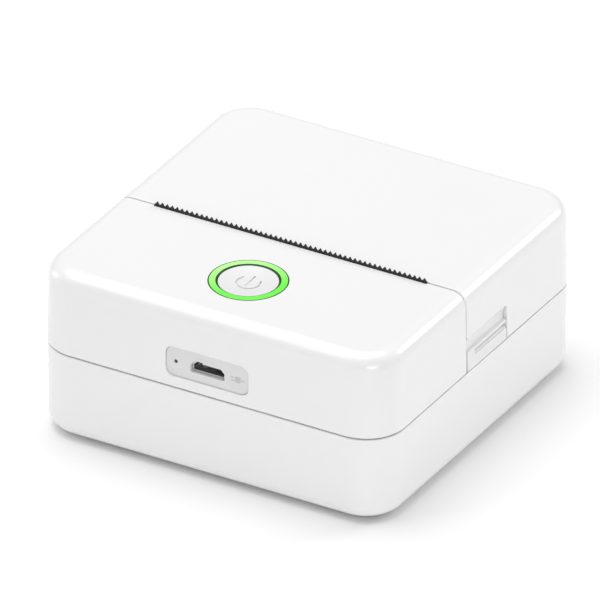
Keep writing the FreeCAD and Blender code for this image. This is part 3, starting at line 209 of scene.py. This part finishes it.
def finished(name, group, settings, **shader):
    """A material whose colour, roughness and normal come from one finish group."""
    material, tree, skin = new_material(name)
    finish = tree.nodes.new("ShaderNodeGroup")
    finish.node_tree = group
    for word, value in settings.items():
        finish.inputs[word].default_value = value
    tree.links.new(finish.outputs["Color"], skin.inputs["Base Color"])
    tree.links.new(finish.outputs["Roughness"], skin.inputs["Roughness"])
    tree.links.new(finish.outputs["Normal"], skin.inputs["Normal"])
    for word, value in shader.items():
        skin.inputs[word.replace("_", " ")].default_value = value
    return material


def grey(level, warm=0.0):
    return (level + warm, level, level - warm, 1.0)


def floor_material():
    return finished("pale_floor", MOULDED, {"Tint": grey(0.97), "Cloud": 0.0, "Grain Depth": 0.0,
                                            "Polish": 0.9, "Polish Spread": 0.0})


def plastic(name, tint, polish, grain=0.03, cloud=0.02, spread=0.06, scale=3500.0, **shader):
    return finished(name, MOULDED, {"Tint": tint, "Cloud": cloud, "Grain Scale": scale,
                                    "Grain Depth": grain, "Polish": polish, "Polish Spread": spread},
                    **shader)


def metal(name, tint, polish, scratch=(40.0, 4000.0, 4000.0), depth=0.1, spread=0.15, **shader):
    return finished(name, METAL, {"Tint": tint, "Scratch": scratch, "Scratch Depth": depth,
                                  "Polish": polish, "Polish Spread": spread}, Metallic=1.0, **shader)


def band_mask(tree, value, low, high, soft):
    """One between low and high, nothing outside, with soft ends."""
    rise = node(tree, "MapRange", {"Value": value, "From Min": low - soft, "From Max": low + soft})
    fall = node(tree, "MapRange", {"Value": value, "From Min": high - soft, "From Max": high + soft,
                                   "To Min": 1.0, "To Max": 0.0})
    return node(tree, "Math", {0: rise.outputs[0], 1: fall.outputs[0]}, operation="MULTIPLY").outputs[0]


def blend_colours(tree, mask, low, high):
    """Low where the mask is nothing, high where it is one."""
    mixed = node(tree, "Mix", data_type="RGBA")
    for socket, value in ((mixed.inputs[0], mask), (mixed.inputs[6], low), (mixed.inputs[7], high)):
        if isinstance(value, bpy.types.NodeSocket):
            tree.links.new(value, socket)
        else:
            socket.default_value = value
    return mixed.outputs[2]


# Light guide: its gap round the button, its outer radius, its two lines of painted gap shade and how soft
# they are.
GUIDE_GAP = 0.2 * MM
GUIDE_OUTER = 8.0 * MM
INNER_PAINTED_SHADE = 0.25 * MM
OUTER_PAINTED_SHADE = 0.2 * MM
PAINTED_SHADE_SOFT = 0.08 * MM
GUIDE_GLOW = 0.22


def light_guide_material():
    """Lit green light guide, paler to its left with painted light, and with painted shade as a dark green
    line at its inner and outer edges.
    """
    material, tree, skin = new_material("light_green")
    low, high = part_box("light_ring")
    middle = (low + high) / 2
    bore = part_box("power_button")
    inner = (bore[1].x - bore[0].x) / 2 + GUIDE_GAP
    place = node(tree, "TexCoord").outputs["Object"]
    offset = node(tree, "VectorMath", {0: place, 1: tuple(middle)}, operation="SUBTRACT")
    across = node(tree, "SeparateXYZ", {0: offset.outputs[0]})
    flat = node(tree, "VectorMath", {0: offset.outputs[0], 1: (1, 1, 0)}, operation="MULTIPLY")
    reach = node(tree, "VectorMath", {0: flat.outputs[0]}, operation="LENGTH").outputs["Value"]
    # Painted light: paler towards -X and +Y, the side the key light falls from.
    slant = node(tree, "Math", {0: across.outputs["X"], 1: across.outputs["Y"]}, operation="SUBTRACT")
    painted_side_light = node(tree, "MapRange", {"Value": slant.outputs[0], "From Min": -0.009, "From Max": 0.006})
    haze = node(tree, "TexNoise", {"Vector": place, "Scale": 500.0, "Detail": 2.0})
    drift = node(tree, "Math", {0: haze.outputs["Fac"], 1: 0.12, 2: painted_side_light.outputs[0]},
                 operation="MULTIPLY_ADD")
    glow = node(tree, "ValToRGB", {"Fac": drift.outputs[0]})
    glow.color_ramp.elements[0].color = (0.44, 0.97, 0.28, 1)
    glow.color_ramp.elements[1].color = (0.13, 0.88, 0.05, 1)
    # Painted shade: dark green lines at the inner and outer edges, where the gaps round the guide lie in
    # shade.
    clear_of_painted_shade = band_mask(tree, reach, inner + INNER_PAINTED_SHADE, GUIDE_OUTER - OUTER_PAINTED_SHADE, PAINTED_SHADE_SOFT)
    tint = blend_colours(tree, clear_of_painted_shade, (0.008, 0.07, 0.006, 1), glow.outputs[0])
    tree.links.new(tint, skin.inputs["Base Color"])
    tree.links.new(tint, skin.inputs["Emission Color"])
    skin.inputs["Emission Strength"].default_value = GUIDE_GLOW
    skin.inputs["Roughness"].default_value = 0.3
    return material


# Case: corner radius in plan, and the band of painted shade on the dust rim round the seam.
CASE_CORNER = 8.7 * MM
RIM_INSET = 2.1 * MM
SHADE_BELOW = 0.5 * MM
SHADE_ABOVE = 0.15 * MM
SHADE_SOFT = 0.03 * MM


def case_material(name, tint, polish):
    """White moulded case, with near-black painted shade on the dust rim that closes the seam."""
    material = plastic(name, tint, polish, Coat_Weight=0.25, Coat_Roughness=0.1)
    tree = material.node_tree
    skin = tree.nodes["Principled BSDF"]
    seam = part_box("rear_lid")[0].z
    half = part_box("base_case")[1].x
    place = node(tree, "TexCoord").outputs["Object"]
    height = node(tree, "SeparateXYZ", {0: place}).outputs["Z"]
    painted_seam_shade = band_mask(tree, height, seam - SHADE_BELOW, seam + SHADE_ABOVE, SHADE_SOFT)
    folded = node(tree, "VectorMath", {0: place}, operation="ABSOLUTE")
    start = half - CASE_CORNER
    past = node(tree, "VectorMath", {0: folded.outputs[0], 1: (start, start, 1)}, operation="SUBTRACT")
    beyond = node(tree, "VectorMath", {0: past.outputs[0], 1: (0, 0, 0)}, operation="MAXIMUM")
    reach = node(tree, "VectorMath", {0: beyond.outputs[0]}, operation="LENGTH").outputs["Value"]
    inside = node(tree, "Math", {0: reach, 1: CASE_CORNER - RIM_INSET}, operation="LESS_THAN")
    painted_seam_shade = node(tree, "Math", {0: painted_seam_shade, 1: inside.outputs[0]}, operation="MULTIPLY").outputs[0]
    plain = skin.inputs["Base Color"].links[0].from_socket
    # Painted shade: near black on the dust rim in the seam band, where the narrow gap lies in shade.
    tree.links.new(blend_colours(tree, painted_seam_shade, plain, (0.05, 0.05, 0.05, 1)), skin.inputs["Base Color"])
    return material


TRACK_PITCH = 0.7 * MM


def ribbon_material():
    """Amber film over a row of copper tracks."""
    material = plastic("ribbon_amber", (0.55, 0.22, 0.03, 1), 0.25)
    tree = material.node_tree
    skin = tree.nodes["Principled BSDF"]
    place = node(tree, "SeparateXYZ", {0: node(tree, "TexCoord").outputs["Object"]})
    turn = node(tree, "Math", {0: place.outputs["X"], 1: 2 * math.pi / TRACK_PITCH}, operation="MULTIPLY")
    wave = node(tree, "Math", {0: turn.outputs[0]}, operation="SINE")
    track = node(tree, "MapRange", {"Value": wave.outputs[0], "From Min": -0.1, "From Max": 0.1})
    plain = skin.inputs["Base Color"].links[0].from_socket
    tree.links.new(blend_colours(tree, track.outputs[0], plain, (0.33, 0.11, 0.02, 1)),
                   skin.inputs["Base Color"])
    return material


def board_material():
    """Green board with paler tracks under the lacquer."""
    material = plastic("board_green", (0.01, 0.10, 0.04, 1), 0.25)
    tree = material.node_tree
    skin = tree.nodes["Principled BSDF"]
    tracks = node(tree, "TexBrick", {"Vector": node(tree, "TexCoord").outputs["Object"], "Scale": 260.0,
                                     "Mortar Size": 0.03, "Color1": (0, 0, 0, 1), "Color2": (0, 0, 0, 1),
                                     "Mortar": (1, 1, 1, 1)})
    plain = skin.inputs["Base Color"].links[0].from_socket
    tree.links.new(blend_colours(tree, tracks.outputs["Color"], plain, (0.03, 0.20, 0.08, 1)),
                   skin.inputs["Base Color"])
    return material


def foam_material():
    """Grey sponge with open cells."""
    material = plastic("foam_grey", grey(0.12), 0.95)
    tree = material.node_tree
    skin = tree.nodes["Principled BSDF"]
    cells = node(tree, "TexVoronoi", {"Vector": node(tree, "TexCoord").outputs["Object"], "Scale": 2600.0})
    bump = node(tree, "Bump", {"Height": cells.outputs["Distance"], "Strength": 0.8, "Distance": 0.0002})
    tree.links.new(bump.outputs[0], skin.inputs["Normal"])
    shade = blend_colours(tree, cells.outputs["Distance"], (0.16, 0.16, 0.16, 1), (0.05, 0.05, 0.05, 1))
    tree.links.new(shade, skin.inputs["Base Color"])
    return material


def make_materials():
    return {
        "case_white": case_material("case_white", grey(0.86), 0.22),
        "latch_white": plastic("latch_white", grey(0.82), 0.26, Coat_Weight=0.2, Coat_Roughness=0.1),
        "button_white": plastic("button_white", grey(0.78), 0.3),
        "light_green": light_guide_material(),
        "lamp_white": plastic("lamp_white", (0.9, 0.9, 0.7, 1), 0.3),
        "panel_grey": plastic("panel_grey", grey(0.74), 0.5, grain=0.2),
        "mark_grey": plastic("mark_grey", grey(0.56), 0.5, grain=0.1),
        "lens_dark": plastic("lens_dark", grey(0.05), 0.15),
        "black_blade": plastic("black_blade", grey(0.004), 0.45, grain=0.1),
        "frame_grey": plastic("frame_grey", grey(0.035), 0.5, grain=0.35),
        "tub_white": plastic("tub_white", grey(0.62), 0.45, grain=0.2),
        "plated_steel": metal("plated_steel", grey(0.72), 0.2),
        "bright_steel": metal("bright_steel", grey(0.76), 0.14),
        "motor_steel": metal("motor_steel", grey(0.58), 0.3),
        "battery_film": plastic("battery_film", grey(0.55), 0.25),
        "foam_grey": foam_material(),
        "board_green": board_material(),
        "chip_black": plastic("chip_black", grey(0.012), 0.55, grain=0.2),
        "ribbon_amber": ribbon_material(),
        "foot_rubber": plastic("foot_rubber", grey(0.22), 0.8, grain=0.5, scale=1800.0),
        "platen_rubber": plastic("platen_rubber", grey(0.02), 0.62, grain=0.5, scale=2600.0),
        "bush_black": plastic("bush_black", grey(0.015), 0.4),
        "gear_white": plastic("gear_white", grey(0.72, 0.02), 0.35),
        "pinion_brass": metal("pinion_brass", (0.72, 0.50, 0.20, 1), 0.2),
        "sink_aluminium": metal("sink_aluminium", grey(0.70), 0.35, depth=0.2),
        "ceramic_white": plastic("ceramic_white", grey(0.72, 0.02), 0.12),
    }


def dress_frame(materials):
    """Give each CAD node the material of its slot."""
    slots = {row["node"]: row["material_slot"] for row in record["subparts"]}
    for name, piece in nodes.items():
        piece.data.materials.clear()
        piece.data.materials.append(materials[slots[name]])


# Finer pieces ------------------------------------------------------------------------

def add_piece(name, shape, body, slot, bevel=0.0):
    """A mesh piece from a bmesh, on its body and with its slot's finish."""
    bmesh.ops.recalc_face_normals(shape, faces=shape.faces)
    mesh = bpy.data.meshes.new(name)
    shape.to_mesh(mesh)
    shape.free()
    piece = bpy.data.objects.new(name, mesh)
    scene.collection.objects.link(piece)
    mesh.materials.append(materials[slot])
    if bevel:
        softener = piece.modifiers.new("soft_edges", "BEVEL")
        softener.width = bevel
        softener.segments = 3
        softener.angle_limit = math.radians(40)
        softener.harden_normals = True
    for face in mesh.polygons:
        face.use_smooth = True
    mesh.set_sharp_from_angle(angle=math.radians(35))
    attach(piece, body)
    return piece


def add_block(shape, low, high):
    """A closed block between two corners."""
    middle = (Vector(low) + Vector(high)) / 2
    size = Vector(high) - Vector(low)
    bmesh.ops.create_cube(shape, size=1.0, matrix=Matrix.Translation(middle) @ Matrix.Diagonal((*size, 1)))


def close_prism(shape, front, back):
    """The two ends and the sides between two matching loops of corners."""
    shape.faces.new(front)
    shape.faces.new(reversed(back))
    for index in range(len(front)):
        after = (index + 1) % len(front)
        shape.faces.new((front[after], front[index], back[index], back[after]))


def add_prism(shape, outline, start, depth):
    """A closed prism along Y from (x, z) points."""
    front = [shape.verts.new((x, start, z)) for x, z in outline]
    back = [shape.verts.new((x, start + depth, z)) for x, z in outline]
    close_prism(shape, front, back)


def rounded_points(centre, size, radius, steps=5):
    """The outline of a rounded rectangle about its centre."""
    points = []
    for quarter in range(4):
        across = 1 if quarter in (0, 3) else -1
        up = 1 if quarter in (0, 1) else -1
        for step in range(steps + 1):
            angle = math.radians(90 * (quarter + step / steps))
            points.append((centre[0] + across * (size[0] / 2 - radius) + radius * math.cos(angle),
                           centre[1] + up * (size[1] / 2 - radius) + radius * math.sin(angle)))
    return points


# Plug mark: its middle, how far it stands proud, its depth, and the (width, height, corner) of its parts.
MARK_X = 6.9 * MM
MARK_DROP = 0.15 * MM
MARK_PROUD = 0.05 * MM
MARK_DEPTH = 0.15 * MM
MARK_REACH = 1.2 * MM
PRONG_OFFSET = 0.35 * MM
PLUG_BODY = (1.3 * MM, 1.3 * MM, 0.4 * MM)
PRONG = (0.75 * MM, 0.22 * MM, 0.08 * MM)
LEAD = (0.75 * MM, 0.24 * MM, 0.1 * MM)


def make_port_mark():
    """A small raised plug mark beside the socket: a body, two prongs and the start of a lead."""
    socket_low, socket_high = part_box("usb_socket")
    z = (socket_low.z + socket_high.z) / 2 - MARK_DROP
    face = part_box("port_bezel")[0].y - MARK_PROUD
    parts = [((MARK_X, z), PLUG_BODY)]
    for way in (-1, 1):
        parts.append(((MARK_X - MARK_REACH, z + way * PRONG_OFFSET), PRONG))
    parts.append(((MARK_X + MARK_REACH, z), LEAD))
    shape = bmesh.new()
    for centre, (width, height, corner) in parts:
        add_prism(shape, rounded_points(centre, (width, height), corner), face, MARK_DEPTH)
    piece = add_piece("port_mark", shape, "body", "panel_grey")
    piece.data.materials[0] = materials["mark_grey"]


HEATER_INSET = 2 * MM
HEATER_HALF = 0.25 * MM
HEATER_SUNK = 0.02 * MM
HEATER_PROUD = 0.03 * MM
HEATER_SOFT = 0.01 * MM


def make_heater_line():
    """The dark heating line on the ceramic strip, where the roller presses."""
    low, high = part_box("head_ceramic")
    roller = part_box("platen_roller")
    line = (roller[0].z + roller[1].z) / 2
    shape = bmesh.new()
    add_block(shape, (low.x + HEATER_INSET, high.y - HEATER_SUNK, line - HEATER_HALF),
              (high.x - HEATER_INSET, high.y + HEATER_PROUD, line + HEATER_HALF))
    add_piece("heater_line", shape, "print_head", "lens_dark", HEATER_SOFT)


LENS_OFFSET = 1.4 * MM
LENS_FOOT = 0.75 * MM
LENS_TOP = 0.6 * MM
LENS_DEPTH = 0.3 * MM
LENS_RISE = 0.1 * MM
LENS_SOFT = 0.04 * MM


def make_sensor_window():
    """Two dark lenses on the paper sensor."""
    low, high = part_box("paper_sensor")
    shape = bmesh.new()
    for way in (-1, 1):
        centre = (low + high) / 2 + Vector((way * LENS_OFFSET, 0, 0))
        place = Matrix.Translation((centre.x, centre.y, high.z + LENS_RISE))
        bmesh.ops.create_cone(shape, cap_ends=True, segments=32, radius1=LENS_FOOT, radius2=LENS_TOP,
                              depth=LENS_DEPTH, matrix=place)
    add_piece("sensor_windows", shape, "body", "lens_dark", LENS_SOFT)


# Trough ribs: the trough's axis, the ribs' outer and inner radii, how many, their pitch and their sweep.
TUB_Y = 17.0 * MM
TUB_Z = 20.4 * MM
TUB_RIB_OUTER = 15.6 * MM
TUB_RIB_INNER = 15.15 * MM
TUB_RIB_HALF = 0.5 * MM
TUB_RIB_PITCH = 11.0 * MM
TUB_RIB_START = 186
TUB_RIB_SWEEP = 168
TUB_RIB_STEPS = 48
RIB_COUNT = 5
RIB_MIDDLE = 2


def make_tub_ribs():
    """Raised ribs round the paper trough, which the roll runs on."""
    profile = ((-1, TUB_RIB_OUTER), (-0.6, TUB_RIB_INNER), (0.6, TUB_RIB_INNER), (1, TUB_RIB_OUTER))
    shape = bmesh.new()
    for index in range(RIB_COUNT):
        middle = (index - RIB_MIDDLE) * TUB_RIB_PITCH
        rows = []
        for step in range(TUB_RIB_STEPS + 1):
            angle = math.radians(TUB_RIB_START + TUB_RIB_SWEEP * step / TUB_RIB_STEPS)
            across, up = math.cos(angle), math.sin(angle)
            rows.append([shape.verts.new((middle + side * TUB_RIB_HALF, TUB_Y + reach * across,
                                          TUB_Z + reach * up)) for side, reach in profile])
        for near, far in zip(rows, rows[1:]):
            for corner in range(len(profile)):
                after = (corner + 1) % len(profile)
                shape.faces.new((near[corner], near[after], far[after], far[corner]))
        shape.faces.new(rows[0])
        shape.faces.new(reversed(rows[-1]))
    add_piece("tub_ribs", shape, "body", "tub_white")


# Lid ribs: half thickness, pitch, drops below the roof, and how far they run.
LID_RIB_HALF = 0.5 * MM
LID_RIB_PITCH = 12.0 * MM
LID_RIB_DROP = 1.2 * MM
CROSS_RIB_DROP = 1.1 * MM
RIB_INTO_ROOF = 0.1 * MM
LID_RIB_START = 1.0 * MM
LID_RIB_END = 33.0 * MM
CROSS_RIB_HALF_SPAN = 31.0 * MM
CROSS_RIBS = (15.0 * MM, 26.0 * MM)


def make_lid_ribs():
    """Stiffening ribs under the lid's roof."""
    frame_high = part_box("lid_frame")[1]
    roof = frame_high.z
    shape = bmesh.new()
    for index in range(RIB_COUNT):
        x = (index - RIB_MIDDLE) * LID_RIB_PITCH
        add_block(shape, (x - LID_RIB_HALF, frame_high.y + LID_RIB_START, roof - LID_RIB_DROP),
                  (x + LID_RIB_HALF, LID_RIB_END, roof + RIB_INTO_ROOF))
    for y in CROSS_RIBS:
        add_block(shape, (-CROSS_RIB_HALF_SPAN, y - LID_RIB_HALF, roof - CROSS_RIB_DROP),
                  (CROSS_RIB_HALF_SPAN, y + LID_RIB_HALF, roof + RIB_INTO_ROOF))
    add_piece("lid_ribs", shape, "lid", "case_white", 0.15 * MM)


# Chip rows on the board, in millimetres: place from the front and how many, then their start and pitch.
CHIP_ROWS = ((-33.5, 12), (-26.0, 10))
CHIP_START = -8.5
CHIP_PITCH = 1.5
CHIP_SUNK = 0.02 * MM
CHIP_SOFT = 0.04 * MM


def make_board_parts():
    """Rows of small chip parts with bright ends on the main board."""
    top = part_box("main_board")[1].z
    bodies = bmesh.new()
    ends = bmesh.new()
    for y, count in CHIP_ROWS:
        for index in range(count):
            foot = Vector(((CHIP_START + CHIP_PITCH * index) * MM, y * MM, top - CHIP_SUNK))
            add_block(bodies, foot + Vector((-0.25, -0.3, 0)) * MM, foot + Vector((0.25, 0.3, 0.37)) * MM)
            for way in (-1, 1):
                add_block(ends, foot + Vector((-0.27, way * 0.4 - 0.12, 0)) * MM,
                          foot + Vector((0.27, way * 0.4 + 0.12, 0.39)) * MM)
    add_piece("board_resistors", bodies, "body", "chip_black", CHIP_SOFT)
    add_piece("board_solder_ends", ends, "body", "plated_steel", CHIP_SOFT)


TAPE_THICKNESS = 0.06 * MM
TAPE_START = 2.0 * MM
TAPE_END = 7.0 * MM
TAPE_LIFT = 0.01 * MM
BATTERY_CORNER = 1.5 * MM


def make_battery_tape():
    """A band of amber tape round the battery's connector end."""
    low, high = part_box("battery")
    size = (high.y - low.y + 2 * TAPE_THICKNESS, high.z - low.z + 2 * TAPE_THICKNESS)
    outline = rounded_points(((low.y + high.y) / 2, (low.z + high.z) / 2), size,
                             BATTERY_CORNER + TAPE_THICKNESS)
    floor = low.z + TAPE_LIFT
    shape = bmesh.new()
    front = [shape.verts.new((low.x + TAPE_START, y, max(z, floor))) for y, z in outline]
    back = [shape.verts.new((low.x + TAPE_END, y, max(z, floor))) for y, z in outline]
    close_prism(shape, front, back)
    add_piece("battery_tape", shape, "body", "ribbon_amber")


make_camera()
make_stage()
materials = make_materials()
dress_frame(materials)
make_port_mark()
make_heater_line()
make_sensor_window()
make_tub_ribs()
make_lid_ribs()
make_board_parts()
make_battery_tape()
